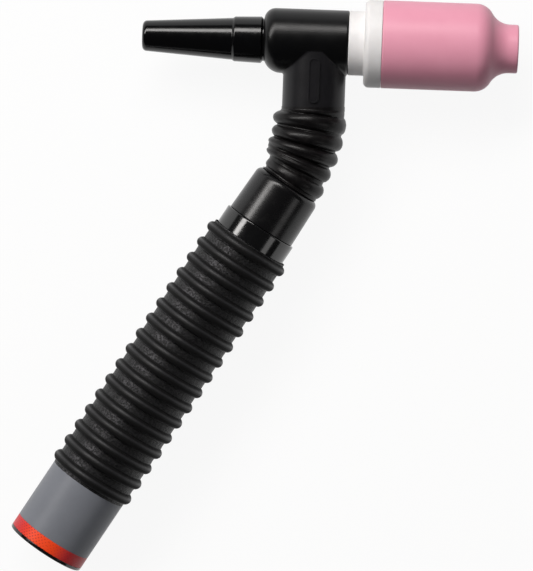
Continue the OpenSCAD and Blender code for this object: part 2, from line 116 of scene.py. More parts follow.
class Finish:
    # a material with its shader, and the nodes that vary it over the surface
    def __init__(self, name, specular, settings=None):
        self.material = bpy.data.materials.new(name)
        self.material.use_nodes = True
        self.tree = self.material.node_tree
        self.shader = self.tree.nodes["Principled BSDF"]
        for socket, value in {"Specular IOR Level": specular, **(settings or {})}.items():
            self.shader.inputs[socket].default_value = value

    def add(self, kind, settings=None, sockets=None, output=0):
        made = self.tree.nodes.new(kind)
        for name, value in (settings or {}).items():
            setattr(made, name, value)
        for name, value in (sockets or {}).items():
            if isinstance(value, Wire):
                self.tree.links.new(value.socket, made.inputs[name])
            else:
                made.inputs[name].default_value = value
        return Wire(self, made.outputs[output])

    def coords(self, place):
        # millimetres in a turned piece's own frame, with z along its axis
        sockets = {
            "Vector": self.add("ShaderNodeTexCoord", output="Object"), "Rotation": place["turn"],
            "Location": [value * mm for value in place["at"]], "Scale": (mm, mm, mm),
        }
        return self.add("ShaderNodeMapping", {"vector_type": "TEXTURE"}, sockets)

    def split(self, vector):
        parts = self.add("ShaderNodeSeparateXYZ", sockets={0: vector})
        outputs = parts.socket.node.outputs
        return [Wire(self, outputs[axis]) for axis in "XYZ"]

    def stretch(self, vector, factors):
        return self.add("ShaderNodeVectorMath", {"operation": "MULTIPLY"}, {0: vector, 1: factors})

    def noise(self, vector, size, detail=2.0, roughness=0.5):
        sockets = {"Vector": vector, "Scale": 1 / size, "Detail": detail, "Roughness": roughness}
        return self.add("ShaderNodeTexNoise", None, sockets, "Fac")

    def cells(self, vector, size):
        # distance to the nearest of scattered points
        return self.add("ShaderNodeTexVoronoi", None, {"Vector": vector, "Scale": 1 / size}, "Distance")

    def step(self, value, low, high, toLow=0.0, toHigh=1.0):
        # smoothly from toLow at low to toHigh at high
        sockets = {"Value": value, "From Min": low, "From Max": high, "To Min": toLow, "To Max": toHigh}
        return self.add("ShaderNodeMapRange", {"interpolation_type": "SMOOTHSTEP"}, sockets)

    def band(self, value, middle, full, gone):
        # 1 within full of the middle, fading to 0 at gone
        return self.step((value - middle).math("ABSOLUTE"), full, gone, 1, 0)

    def mix(self, factor, first, second):
        sockets = {0: factor, 6: first, 7: second}
        return self.add("ShaderNodeMix", {"data_type": "RGBA"}, sockets, 2)

    def bump(self, height, depth):
        # height runs from 0 to 1, depth is in mm
        sockets = {"Height": height, "Strength": 1.0, "Distance": depth * mm}
        return self.add("ShaderNodeBump", sockets=sockets)

    def feed(self, colour, rough=None, height=None, depth=0, metallic=None):
        wires = {"Base Color": colour, "Roughness": rough, "Metallic": metallic,
                 "Normal": height and self.bump(height, depth)}
        for name, wire in wires.items():
            if wire:
                self.tree.links.new(wire.socket, self.shader.inputs[name])
        return self.material


def rubberFinish(name, place, v):
    finish = Finish(name, v["specular"])
    spot = finish.coords(place)
    cloud = finish.noise(spot, v["cloudSize"], 3)
    grain = finish.noise(spot, v["grainSize"], 3, 0.6)
    dust = finish.step(finish.noise(spot, v["cloudSize"] * 0.35, 4, 0.65), 0.45, 0.75)
    colour = finish.mix(cloud, v["dark"], v["light"])
    colour = finish.mix(dust * v["dust"], colour, v["dustColour"])
    rough = v["roughness"] + (cloud - 0.5) * v["roughnessChange"] + dust * 0.06
    return finish.feed(colour, rough, grain, v["grainDepth"])


def metalFinish(name, place, v):
    # turned metal: fine grooves round the axis, and a little staining
    finish = Finish(name, 0.5, {"Metallic": 1.0})
    spot = finish.coords(place)
    grooves = finish.noise(finish.stretch(spot, (0.15, 0.15, 1)), v["grooveSize"], 2)
    stain = finish.noise(spot, v["stainSize"], 4, 0.6)
    colour = finish.mix(finish.step(stain, 0.4, 0.7), v["colour"], v["stain"])
    rough = v["roughness"] + (stain - 0.5) * 0.2 + (grooves - 0.5) * 0.12
    return finish.feed(colour, rough, grooves, v["grooveDepth"])


# Modelling: pieces are shaped in mm about their own axis, then put in place in metres


def onlySelect(piece):
    bpy.ops.object.select_all(action="DESELECT")
    piece.select_set(True)
    bpy.context.view_layer.objects.active = piece


def editMesh(piece, action="DESELECT"):
    onlySelect(piece)
    bpy.ops.object.mode_set(mode="EDIT")
    bpy.ops.mesh.select_all(action=action)


def stopEditing():
    bpy.ops.object.mode_set(mode="OBJECT")


def selectWhere(piece, test, kind="verts"):
    # selects in edit mode by a test on each vertex, or on each edge's or face's middle
    mesh = bmesh.from_edit_mesh(piece.data)
    for item in getattr(mesh, kind):
        corners = [item] if kind == "verts" else item.verts
        item.select_set(test(sum((vertex.co for vertex in corners), Vector()) / len(corners)))
    mesh.select_flush_mode()
    bmesh.update_edit_mesh(piece.data)


def applyModifier(piece, kind, **settings):
    onlySelect(piece)
    bpy.ops.object.modifier_add(type=kind)
    modifier = piece.modifiers[-1]
    for name, value in settings.items():
        setattr(modifier, name, value)
    bpy.ops.object.modifier_apply(modifier=modifier.name)


def roundedProfile(corners, steps=4):
    # (z, radius) or (z, radius, rounding) in mm; each rounding becomes an arc with a holding loop
    # on each side
    loops = []
    for i, corner in enumerate(corners):
        here = Vector(corner[:2])
        rounding = corner[2] if len(corner) > 2 else 0
        if not rounding:
            loops.append((here.x, here.y))
            continue
        back = (Vector(corners[i - 1][:2]) - here).normalized()
        ahead = (Vector(corners[(i + 1) % len(corners)][:2]) - here).normalized()
        half = math.acos(max(-1, min(1, back.dot(ahead)))) / 2
        reach = rounding / math.tan(half)
        centre = here + (back + ahead).normalized() * rounding / math.sin(half)
        first, last = here + back * reach - centre, here + ahead * reach - centre
        hold = min(0.12, rounding * 0.4)
        loops.append(tuple(here + back * (reach + hold)))
        for k in range(steps + 1):
            t = k / steps
            arm = first * (1 - t) + last * t
            loops.append(tuple(centre + arm.normalized() * rounding))
        loops.append(tuple(here + ahead * (reach + hold)))
    return loops


def startLoop(name, sides, radius, at, turn=(0, 0, 0), fill="NOTHING"):
    # a circle, left selected in edit mode
    bpy.ops.object.select_all(action="DESELECT")
    bpy.ops.mesh.primitive_circle_add(vertices=sides, radius=radius, location=at, rotation=turn,
                                      fill_type=fill)
    piece = bpy.context.object
    piece.name = piece.data.name = name
    bpy.ops.object.transform_apply()
    editMesh(piece, "SELECT")
    return piece


def drawOut(loops):
    # the selected loop goes along Z from the first (z, radius) to the last
    at, radius = loops[0]
    for nextAt, nextRadius in loops[1:]:
        bpy.ops.mesh.extrude_region_move(TRANSFORM_OT_translate={"value": (0, 0, nextAt - at)})
        size = nextRadius / radius
        if abs(size - 1) > 1e-6:
            bpy.ops.transform.resize(value=(size, size, 1), center_override=(0, 0, nextAt))
        at, radius = nextAt, nextRadius


def bridgeOpenEnds(cuts=0):
    bpy.ops.mesh.select_all(action="DESELECT")
    bpy.ops.mesh.select_non_manifold()
    bpy.ops.mesh.bridge_edge_loops(number_cuts=cuts)


def turnPiece(name, v, rows, sides=128, steps=4, hollow=False):
    # a circle drawn out along its axis, loop by loop; names in the rows stand for values in v
    loops = roundedProfile([[v.get(item, item) for item in row] for row in rows], steps)
    at, radius = loops[0]
    piece = startLoop(name, sides, radius, (0, 0, at), fill="NOTHING" if hollow else "NGON")
    drawOut(loops)
    if hollow:
        bridgeOpenEnds()
    else:
        bpy.ops.mesh.edge_face_add()
    pointOutwards()
    stopEditing()
    return piece


def pointOutwards():
    bpy.ops.mesh.select_all(action="SELECT")
    bpy.ops.mesh.normals_make_consistent()


def layDown(piece, place, unit=1):
    # turned to its place, in mm unless a unit is given
    onlySelect(piece)
    piece.scale = (unit, unit, unit)
    piece.rotation_euler = place["turn"]
    piece.location = [value * unit for value in place["at"]]
    bpy.ops.object.transform_apply()
    return piece


def putInPlace(piece, place, smoothAngle=35):
    layDown(piece, place, mm)
    bpy.ops.object.shade_smooth_by_angle(angle=math.radians(smoothAngle))
    return piece


def paint(piece, material):
    piece.data.materials.clear()
    piece.data.materials.append(material)


def dress(piece, material):
    paint(piece, material)


def standFor(piece, material, slot, body, *replaced):
    for name in replaced:
        paint(nodes[name], material)
    dress(piece, material)
    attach(piece, body)
    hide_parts(*replaced)


# Handle tube

tube = dict(
    length=135.6, radius=13.4, bore=12.0, mouth=12.3, mouthDepth=18,
    rimLength=1.2, rimRadius=14.26, edge=0.3, outerEdge=0.4, rimStep=0.15, endEdge=0.2,
    seam=60,  # where the outline starts and ends
)
tubePiece = turnPiece("handleTube", tube, [
    ("seam", "bore"),
    ("mouthDepth", "bore"),
    ("mouthDepth", "mouth"),
    (0, "mouth", "edge"),
    (0, "rimRadius", "outerEdge"),
    ("rimLength", "rimRadius", "rimStep"),
    ("rimLength", "radius"),
    ("seam", "radius"),
    ("length", "radius", "outerEdge"),
    ("length", "bore", "endEdge"),
], hollow=True)
putInPlace(tubePiece, handlePlace)
tubeBlack = dict(
    specular=0.7, cloudSize=9, grainSize=1.6, grainDepth=0.004,
    dark=linear(5, 5, 6), light=linear(10, 10, 11), dust=0.02, dustColour=linear(60, 60, 62),
    roughness=0.13, roughnessChange=0.05,
)
handlePlastic = rubberFinish("handlePlastic", handlePlace, tubeBlack)
standFor(tubePiece, handlePlastic, "handle_plastic", "handle", "handle_tube")
print("handle tube done")

# Label sleeve with its red end band

label = dict(
    start=1.2, length=26.7, radius=14.26, inside=13.42, bandWidth=4.2,
    dotPitch=1.05, dotSize=0.3,
    grey=linear(124, 127, 134), greyDark=linear(113, 116, 123),
    # the crimson red is painted shade for the sleeve's sides
    red=linear(255, 78, 22), redDark=linear(250, 66, 20), sideShadeRed=linear(214, 42, 48),
    shadeMiddle=2, shadeStart=3, shadeEnd=11, dotFade=(-1, 7, 0.3, 1), dotColour=linear(150, 24, 26),
    line=linear(92, 98, 104), lineOffset=0.12, lineFade=(0.06, 0.16), bandFade=0.06,
    clear=0.02, lowEdge=0.08, highEdge=0.12, seam=14,
    specular=0.4, roughness=0.36, cloudSize=7, grainSize=0.5, grainDepth=0.006, scuffSize=0.9,
)
labelLow, labelHigh = label["start"] + label["clear"], label["start"] + label["length"]
labelPiece = turnPiece("labelSleeve", label, [
    ("seam", "inside"),
    (labelLow, "inside"),
    (labelLow, label["radius"] - label["clear"], "lowEdge"),
    ("seam", label["radius"] - label["clear"]),
    (labelHigh, label["radius"] - label["clear"], "highEdge"),
    (labelHigh, "inside"),
], hollow=True)
putInPlace(labelPiece, handlePlace)


def labelFinish(v):
    finish = Finish("labelFilm", v["specular"])
    spot = finish.coords(handlePlace)
    x, y, z = finish.split(spot)
    around = y.math("ARCTAN2", x) * v["radius"]
    fine = finish.noise(spot, v["grainSize"], 2)
    cloud = finish.noise(spot, v["cloudSize"], 3)
    grey = finish.mix(cloud, v["greyDark"], v["grey"])
    red = finish.mix(cloud, v["redDark"], v["red"])
    # painted shade: the red band darkens towards both sides of the sleeve
    paintedSideShade = finish.step((y - v["shadeMiddle"]).math("ABSOLUTE"), v["shadeStart"], v["shadeEnd"])
    red = finish.mix(paintedSideShade, red, v["sideShadeRed"])
    # two crossed rows of dots, set at 45 degrees
    pitch = v["dotPitch"] / math.sqrt(2)
    across = ((around + z) / (2 * pitch)).math("PINGPONG", 0.5)
    along = ((around - z) / (2 * pitch)).math("PINGPONG", 0.5)
    off = (across * across + along * along) ** 0.5 * (2 * pitch)
    dots = finish.step(off, v["dotSize"] * 0.75, v["dotSize"] * 1.25, 1, 0)
    fade = finish.step(y, *v["dotFade"])
    red = finish.mix(dots * fade, red, v["dotColour"])
    bandEnd = v["start"] + v["bandWidth"]
    band = finish.step(z, bandEnd - v["bandFade"], bandEnd + v["bandFade"], 1, 0)
    line = finish.band(z, bandEnd + v["lineOffset"], *v["lineFade"])
    colour = finish.mix(band, finish.mix(line * 0.5, grey, v["line"]), red)
    scuff = finish.step(finish.noise(finish.stretch(spot, (1, 1, 0.25)), v["scuffSize"], 4, 0.7), 0.62, 0.75)
    rough = v["roughness"] + cloud * 0.12 + scuff * 0.12
    return finish.feed(colour, rough, fine, v["grainDepth"])


standFor(labelPiece, labelFinish(label), "label_film", "handle", "label_sleeve")
print("label sleeve done")

# Ribbed grip: one rib and its valley, repeated along the handle

grip = dict(
    start=27.9, ribCount=16, pitch=6.4, endLength=2.0, crestShift=0.2,
    sleeve=14.25, crest=15.75, ribRadius=1.8, inside=13.42, sides=208, flatSteps=3,
    ribSteps=12, endHold=0.12, boreHold=0.1,
    # grain pressed into the skin, which reaches down to a share of the ribs' height under the sleeve
    grain=0.12, grainSize=0.8, cellSize=1.3, crestFade=0.75, skinFrom=-0.2,
    # mm from a crest, more than 0 towards the head: where a band lies, is full and has faded
    # bands of painted shade on a rib's flank away from the head and at its foot, and of painted highlight on
    # its flank towards the head
    shaded=(-0.6, 0.35, 0.75), paintedFlankHighlight=(0.85, 0.15, 0.55), foot=(1.8, 0.15, 0.45),
    valleyBefore=(-1.5, -1.1), valleyAfter=(2.0, 2.4),
    # mm across the handle: where the painted highlight on the upper side starts and stops
    upperHighlightFrom=(0.5, 5), upperHighlightTo=(8.5, 12.5),
    poreSize=0.85, weaveSize=0.75, cloudSize=6,
    # the greyer leather is a painted highlight on the upper side
    pore=linear(2, 2, 2), leather=linear(26, 26, 28), upperHighlightLeather=linear(78, 77, 80),
    # the ribs' lighter band colour is a painted highlight, the black foot colour painted shade
    crestColour=linear(5, 5, 6), flankHighlightColour=linear(40, 40, 42), paintedShadeColour=linear(1, 1, 1),
    grainDepth=0.12, roughness=0.48, specular=0.29,
)


def gripProfile(v):
    # one rib between two half valleys
    half = v["pitch"] / 2
    middle = v["crest"] - v["ribRadius"]
    foot = math.acos((v["sleeve"] - middle) / v["ribRadius"])  # where the rib's arc meets the sleeve
    footAt = v["ribRadius"] * math.sin(foot)
    flat = [(half - footAt) * k / v["flatSteps"] for k in range(v["flatSteps"] + 1)]
    turns = [-foot + 2 * foot * k / v["ribSteps"] for k in range(v["ribSteps"] + 1)]
    profile = [(-half + along, v["sleeve"]) for along in flat[:-1]]
    profile += [(v["ribRadius"] * math.sin(t), middle + v["ribRadius"] * math.cos(t)) for t in turns]
    return profile + [(footAt + along, v["sleeve"]) for along in flat[1:]]


def grain(piece, v):
    # leathery grain in the valleys, fainter on the crests and none in the bore
    group = piece.vertex_groups.new(name="grain")
    for vertex in piece.data.vertices:
        height = (Vector(vertex.co[:2]).length - v["sleeve"]) / (v["crest"] - v["sleeve"])
        weight = max(0.0, 1 - v["crestFade"] * max(0.0, height))
        group.add([vertex.index], weight if height > v["skinFrom"] else 0.0, "REPLACE")
    for kind, size in (("CLOUDS", v["grainSize"]), ("VORONOI", v["grainSize"] * v["cellSize"])):
        texture = bpy.data.textures.new("grain" + kind.title(), kind)
        texture.noise_scale = size
        applyModifier(piece, "DISPLACE", texture=texture, texture_coords="LOCAL", direction="NORMAL",
                      strength=v["grain"], mid_level=0.5, vertex_group="grain")


profile = gripProfile(grip)
gripPiece = startLoop("ribbedGrip", grip["sides"], profile[0][1], (0, 0, profile[0][0]))
drawOut(profile)
stopEditing()
applyModifier(gripPiece, "ARRAY", count=grip["ribCount"], use_relative_offset=False,
              use_constant_offset=True, constant_offset_displace=(0, 0, grip["pitch"]),
              use_merge_vertices=True, merge_threshold=tolerance)
editMesh(gripPiece)
lowEnd, highEnd = -grip["pitch"] / 2, (grip["ribCount"] - 0.5) * grip["pitch"]
trim = grip["pitch"] / 2 - grip["endLength"]
shift = grip["crestShift"]
for end, inward in ((lowEnd, 1), (highEnd, -1)):
    # the end loops come in to the sleeve's ends and go down to the bore
    selectWhere(gripPiece, lambda co: abs(co.z - end) < tolerance)
    bpy.ops.transform.translate(value=(0, 0, trim * inward - shift))
    at = end + trim * inward - shift
    sleeve, inside = grip["sleeve"], grip["inside"]
    radii = (sleeve, sleeve - grip["endHold"], inside + grip["boreHold"], inside)
    drawOut([(at, radius) for radius in radii])
bridgeOpenEnds()
pointOutwards()
stopEditing()
grain(gripPiece, grip)
editMesh(gripPiece, "SELECT")
bpy.ops.transform.translate(value=(0, 0, grip["start"] + grip["endLength"] + shift))
stopEditing()
putInPlace(gripPiece, handlePlace, 50)


def gripFinish(v):
    finish = Finish("gripRubber", v["specular"])
    spot = finish.coords(handlePlace)
    x, y, z = finish.split(spot)
    firstCrest = v["start"] + v["endLength"] + v["crestShift"]
    offset = (z - (firstCrest - v["pitch"] / 2)).math("FLOORED_MODULO", v["pitch"]) - v["pitch"] / 2
    before = finish.step(offset, *v["valleyBefore"], 1, 0)
    valley = before.math("MAXIMUM", finish.step(offset, *v["valleyAfter"]))
    shaded, paintedFlankHighlight, foot = (finish.band(offset, *v[name]) for name in ("shaded", "paintedFlankHighlight", "foot"))
    pores = finish.step(finish.cells(spot, v["poreSize"]), 0.08, 0.5)
    weave = finish.step(finish.noise(spot, v["weaveSize"], 4, 0.7), 0.4, 0.6)
    cloud = finish.noise(spot, v["cloudSize"], 3)
    # painted highlight: the valleys on the upper side are greyer, as if lit from that side
    paintedUpperHighlight = finish.step(y, *v["upperHighlightFrom"]) * finish.step(y, *v["upperHighlightTo"], 1, 0)
    leather = finish.mix(paintedUpperHighlight * finish.step(cloud, 0.25, 0.6), v["leather"], v["upperHighlightLeather"])
    colour = finish.mix(valley, v["crestColour"], finish.mix(weave * pores, v["pore"], leather))
    # painted highlight along each rib's flank towards the head
    colour = finish.mix(paintedFlankHighlight * 0.8, colour, v["flankHighlightColour"])
    # painted shade on each rib's flank away from the head and at its foot
    dark = shaded.math("MAXIMUM", foot * 0.6)
    colour = finish.mix(dark, colour, v["paintedShadeColour"])
    rough = v["roughness"] - weave * valley * 0.06 + (1 - valley) * 0.12 - paintedFlankHighlight * 0.18 + dark * 0.25
    rough = rough + (cloud - 0.5) * 0.1
    height = (weave * 0.6 + pores * 0.4) * (valley * 0.8 + 0.2)
    return finish.feed(colour, rough, height, v["grainDepth"])


standFor(gripPiece, gripFinish(grip), "grip_rubber", "handle", "ribbed_grip")
print("ribbed grip done")

# Neck shank

shank = dict(
    low=135.6, high=153.1, lowRadius=12.6, highRadius=12.15, round=2.4,
    plugStart=105.6, plugRadius=11.98, plugEdge=0.5, bore=6.42, stepEdge=0.3, clear=0.03,
    seam=120,
)
shankLow = shank["low"] + shank["clear"]
shankPiece = turnPiece("neckShank", shank, [
    ("seam", "bore"),
    ("plugStart", "bore"),
    ("plugStart", "plugRadius", "plugEdge"),
    (shankLow, "plugRadius"),
    (shankLow, "lowRadius", "stepEdge"),
    ("high", "highRadius", "round"),
    ("high", "bore"),
], hollow=True, steps=6)
putInPlace(shankPiece, handlePlace)
shankBlack = dict(
    specular=0.4, cloudSize=8, grainSize=0.9, grainDepth=0.008,
    dark=linear(7, 7, 8), light=linear(12, 11, 13), dust=0.04, dustColour=linear(46, 44, 44),
    roughness=0.26, roughnessChange=0.08,
)
shankRubber = rubberFinish("shankRubber", handlePlace, shankBlack)
standFor(shankPiece, shankRubber, "shank_rubber", "handle", "neck_shank")
print("neck shank done")

# Bellows of the neck, made as one skin and then parted at a groove

bellows = dict(
    length=27.5, steps=140, sides=136, inside=8.95, innerLoops=10, gap=0.04,
    parting=0.555, overlap=0.04, lowEnd=10.9, lowReach=0.8, highEnd=10.98, highReach=0.5,
    meanRadius=12, frontDip=0.35, dipFade=8, frontLift=0.03, liftFrom=0.8, liftSpan=0.2,
    fullness=0.7, blend=5,  # a ring's form, and how sharply rings meet
    # wrinkles: how fine they are around and along, and their share of the whole
    wrinkle=0.2, wrinkles=[(1.6, 9, 1.4), (5, 24, 0.25)], wrinkleFade=14,
    # radius at the bottom of the grooves: share of the way up, outer side of the bend, inner side
    grooves=[(0, 10.9, 9.9), (0.2, 10.05, 10.7), (0.385, 9.85, 11.1), (0.56, 10.0, 11.75),
                (0.75, 10.85, 11.85), (0.93, 10.85, 10.9), (1, 10.85, 10.7)],
    # each ring: share of the way up, crest radius and half width, on the outer side and on the inner
    # side, and how strongly it shows at the outer side, front, inner side and back
    rings=[
        ((0.105, 11.85, 2.6), (0.115, 10.8, 1.3), (1, 1, 1, 1)),
        ((0.295, 11.35, 2.6), (0.305, 12.75, 1.7), (1, 1, 1, 1)),
        ((0.38, 10.5, 0.8), (0.38, 13.05, 1.4), (0, 0, 1, 0)),
        ((0.47, 11.6, 2.7), (0.455, 13.5, 1.8), (1, 1, 1, 1)),
        ((0.645, 11.95, 2.7), (0.635, 13.3, 2.1), (1, 1, 1, 1)),
        ((0.735, 11.0, 0.5), (0.745, 12.3, 0.45), (0, 0.7, 0.2, 0.5)),
        ((0.835, 12.0, 2.9), (0.865, 13.8, 2.4), (1, 1, 1, 1)),
        ((0.97, 12.3, 1.9), (0.985, 12.3, 1.5), (0, 1, 0.3, 0.2)),
    ],
    # creases along a crest, by the same measures with a depth for the radius
    creases=[
        ((0.3, 0.4, 0.5), (0.32, 0.4, 0.5), (0, 1, 0.4, 0.5)),
        ((0.46, 0.25, 0.5), (0.42, 0.25, 0.5), (0, 0.8, 0.4, 0.5)),
    ],
)


neckCentre = Vector(layout["neckCentre"])


def neckLoop(share):
    # the middle of the neck at that share of its length, and how far it is turned from the stem
    turn = -math.radians(layout["neckBend"] * (1 - share))
    return neckCentre + Vector((math.cos(turn), math.sin(turn), 0)) * layout["neckRadius"], turn


def between(outer, inner, angle):
    # angle 0 is the outer side of the bend, 90 degrees the front, 180 the inner side
    return (outer + inner) / 2 + (outer - inner) / 2 * math.cos(angle)


def fromRing(v, ring, share, angle):
    # distance to a ring's crest as a share of its half width, the crest's radius, and its strength
    outer, inner, shows = ring
    at, radius, width = (between(outer[n], inner[n], angle) for n in range(3))
    at += v["frontLift"] * math.sin(angle) ** 2 * max(0, at - v["liftFrom"]) / v["liftSpan"]
    away = (share - at) * v["length"] * (1 + v["meanRadius"] * math.cos(angle) / layout["neckRadius"])
    quarter = (angle / (math.pi / 2)) % 4
    k = int(quarter)
    t = eased(quarter - k)
    return away / width, radius, shows[k] * (1 - t) + shows[(k + 1) % 4] * t


def grooveRadius(v, share, angle):
    for low, high in zip(v["grooves"], v["grooves"][1:]):
        if share <= high[0]:
            break
    t = (share - low[0]) / (high[0] - low[0])
    radius = between(low[1], low[2], angle) * (1 - t) + between(high[1], high[2], angle) * t
    return radius - v["frontDip"] * math.sin(angle) ** 2 * limited(v["dipFade"] * min(share, 1 - share))


def bellowsRadius(v, share, angle):
    base = grooveRadius(v, share, angle)
    heights = 0
    for ring in v["rings"]:
        away, crest, strength = fromRing(v, ring, share, angle)
        if abs(away) < 1 and crest > base:
            heights += ((crest - base) * strength * (1 - away * away) ** v["fullness"]) ** v["blend"]
    radius = base + heights ** (1 / v["blend"])
    for crease in v["creases"]:
        away, depth, strength = fromRing(v, crease, share, angle)
        radius -= depth * strength * math.exp(-away * away * 2)
    # both ends come in to the shank's and the stem's own size
    ends = ((share, v["lowEnd"], v["lowReach"]), (1 - share, v["highEnd"], v["highReach"]))
    for end, size, reach in ends:
        t = eased(limited(end * v["length"] / reach))
        radius = size * (1 - t) + radius * t
    return radius


first, last = bellows["gap"] / bellows["length"], 1 + bellows["overlap"]
middle, turn = neckLoop(first)
skin = startLoop("bellowsSkin", bellows["sides"], bellows["lowEnd"], middle, (math.radians(90), 0, turn))
step = math.radians(layout["neckBend"]) * (last - first) / bellows["steps"]
for k in range(bellows["steps"]):
    bpy.ops.mesh.extrude_region()
    bpy.ops.transform.rotate(value=-step, orient_axis="Z", center_override=neckCentre)
stopEditing()
for vertex in skin.data.vertices:
    flat = Vector((vertex.co.x, vertex.co.y, 0)) - neckCentre
    turn = math.atan2(flat.y, flat.x)
    share = 1 + math.degrees(turn) / layout["neckBend"]
    outward = Vector((math.cos(turn), math.sin(turn), 0))
    across = flat.length - layout["neckRadius"]
    angle = math.atan2(vertex.co.z, across)
    radius = bellowsRadius(bellows, share, angle)
    edge = limited(min(share, 1 - share) * bellows["wrinkleFade"])
    wrinkle = 0
    for around, along, strength in bellows["wrinkles"]:
        spot = Vector((math.cos(angle) * around, math.sin(angle) * around, share * along))
        wrinkle += noise.noise(spot) * strength
    radius += wrinkle * bellows["wrinkle"] * edge
    middle = neckLoop(share)[0]
    vertex.co = middle + outward * math.cos(angle) * radius + Vector((0, 0, math.sin(angle) * radius))
skin.data.update()


def closeHalf(piece, v):
    # both ends turn in to the inner skin
    editMesh(piece)
    bpy.ops.mesh.select_non_manifold()
    bpy.ops.mesh.extrude_region()
    mesh = bmesh.from_edit_mesh(piece.data)
    for vertex in mesh.verts:
        if vertex.select:
            flat = Vector((vertex.co.x, vertex.co.y, 0)) - neckCentre
            middle = neckCentre + flat.normalized() * layout["neckRadius"]
            vertex.co = middle + (vertex.co - middle).normalized() * v["inside"]
    bmesh.update_edit_mesh(piece.data)
    bridgeOpenEnds(v["innerLoops"])
    pointOutwards()
    stopEditing()


bellowsBlack = dict(
    specular=0.25, dark=linear(8, 7, 8), light=linear(16, 14, 15), worn=linear(52, 48, 47),
    cloudSize=5, grainSize=0.6, wearSize=2.2, roughness=0.37, grainDepth=0.008,
)


def bellowsFinish(v):
    finish = Finish("bellowsRubber", v["specular"])
    spot = finish.coords(rowPlace)
    cloud = finish.noise(spot, v["cloudSize"], 3)
    fine = finish.noise(spot, v["grainSize"], 3, 0.6)
    worn = finish.step(finish.noise(spot, v["wearSize"], 4, 0.6), 0.45, 0.7)
    colour = finish.mix(cloud, v["dark"], v["light"])
    colour = finish.mix(worn * 0.12, colour, v["worn"])
    rough = v["roughness"] + (cloud - 0.5) * 0.14 + worn * 0.05
    return finish.feed(colour, rough, fine, v["grainDepth"])


editMesh(skin)
partLoop = layout["neckBend"] * (1 - bellows["parting"])
selectWhere(skin, lambda co: math.degrees(math.atan2(*(co - neckCentre).yx)) > -partLoop, "faces")
bpy.ops.mesh.separate(type="SELECTED")
stopEditing()
upper = next(piece for piece in bpy.context.selected_objects if piece != skin)
for piece, name in ((skin, "bellowsLower"), (upper, "bellowsUpper")):
    piece.name = piece.data.name = name
    closeHalf(piece, bellows)
    putInPlace(piece, rowPlace, 60)
    dress(piece, bellowsFinish(bellowsBlack))
neckLoop(0.04)[0] * mm
neckLoop(0.49)[0] * mm
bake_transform(skin)
neckLoop(0.63)[0] * mm
neckLoop(0.98)[0] * mm
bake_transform(upper)
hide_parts("neck_bellows")
print("bellows done")

# Head cover: barrel and stem in one moulding, with a raised pad on the stem

cover = dict(
    rear=-18, front=11.4, radius=11.2, rearRound=4, frontEdge=0.45,
    stemLength=23.5, stemRadius=10.85, stemEdge=0.12, lowRearRound=6.2,
    coreBore=8.22, coreStart=-14.5, rearBore=7.6, stemBore=6.42,
    sides=192, pole=1, past=2, voxel=0.28, smoothWidth=1.6, elsewhere=0.12, smoothing=0.6,
    slotWidth=3.9, slotStart=5.5, slotLength=15.7, slotHeight=0.42, slotRim=0.6,
    slotSunk=1.2, slotEdge=0.08, slotField=0.24,
)


def combine(piece, other, operation):
    applyModifier(piece, "BOOLEAN", object=other, operation=operation, solver="EXACT")
    bpy.data.objects.remove(other)


coverPiece = layDown(turnPiece("headCover", cover, [
    ("rear", "pole"),
    ("rear", "radius", "rearRound"),
    ("front", "radius", "frontEdge"),
    ("front", "pole"),
], sides=cover["sides"], steps=10), headPlace)
stemPiece = layDown(turnPiece("stem", cover, [
    (0, "pole"),
    (0, "stemRadius"),
    ("stemLength", "stemRadius", "stemEdge"),
    ("stemLength", "pole"),
], sides=cover["sides"]), stemPlace)
combine(coverPiece, stemPiece, "UNION")
applyModifier(coverPiece, "REMESH", mode="VOXEL", voxel_size=cover["voxel"], adaptivity=0)
head = Vector(layout["head"])
# smoothed most along the line where the stem meets the barrel
group = coverPiece.vertex_groups.new(name="crease")
for vertex in coverPiece.data.vertices:
    spot = vertex.co - head
    fromBarrel = abs(math.hypot(spot.y, spot.z) - cover["radius"])
    fromStem = abs(math.hypot(spot.x, spot.z) - cover["stemRadius"])
    near = spot.y < 2 and max(fromBarrel, fromStem) < cover["smoothWidth"]
    group.add([vertex.index], 1.0 if near else cover["elsewhere"], "REPLACE")
    # the rear edge is rounder at the bottom than at the top
    out = spot.x - cover["rear"]
    if out < cover["lowRearRound"] and spot.y < 0:
        low = (spot.y / math.hypot(spot.y, spot.z)) ** 2
        wanted = cover["rearRound"] + (cover["lowRearRound"] - cover["rearRound"]) * low
        reach = []
        for rounding in (cover["rearRound"], wanted):
            depth = max(0, rounding - max(0, out))
            reach.append(cover["radius"] - rounding + math.sqrt(rounding ** 2 - depth ** 2))
        factor = reach[1] / reach[0]
        vertex.co = head + Vector((spot.x, spot.y * factor, spot.z * factor))
applyModifier(coverPiece, "SMOOTH", factor=cover["smoothing"], iterations=7, vertex_group="crease")


def slotPiece(v):
    # a long rounded plate whose rim stands up
    half = v["slotWidth"] / 2
    start = head.y - v["slotStart"] - half
    piece = startLoop("slot", 48, half, (head.x, start, v["stemRadius"] - v["slotSunk"]), fill="NGON")
    bpy.ops.mesh.select_all(action="DESELECT")
    selectWhere(piece, lambda co: co.y < start - tolerance)
    bpy.ops.transform.translate(value=(0, v["slotWidth"] - v["slotLength"], 0))
    bpy.ops.mesh.select_all(action="SELECT")
    edge = v["slotEdge"]
    rise = v["slotSunk"] + v["slotHeight"] - edge
    bpy.ops.mesh.extrude_region_move(TRANSFORM_OT_translate={"value": (0, 0, rise)})
    bpy.ops.mesh.inset(thickness=edge)
    bpy.ops.transform.translate(value=(0, 0, edge))
    bpy.ops.mesh.inset(thickness=v["slotRim"] - 2 * edge)
    bpy.ops.mesh.inset(thickness=edge)
    bpy.ops.transform.translate(value=(0, 0, -v["slotField"]))
    pointOutwards()
    stopEditing()
    return piece


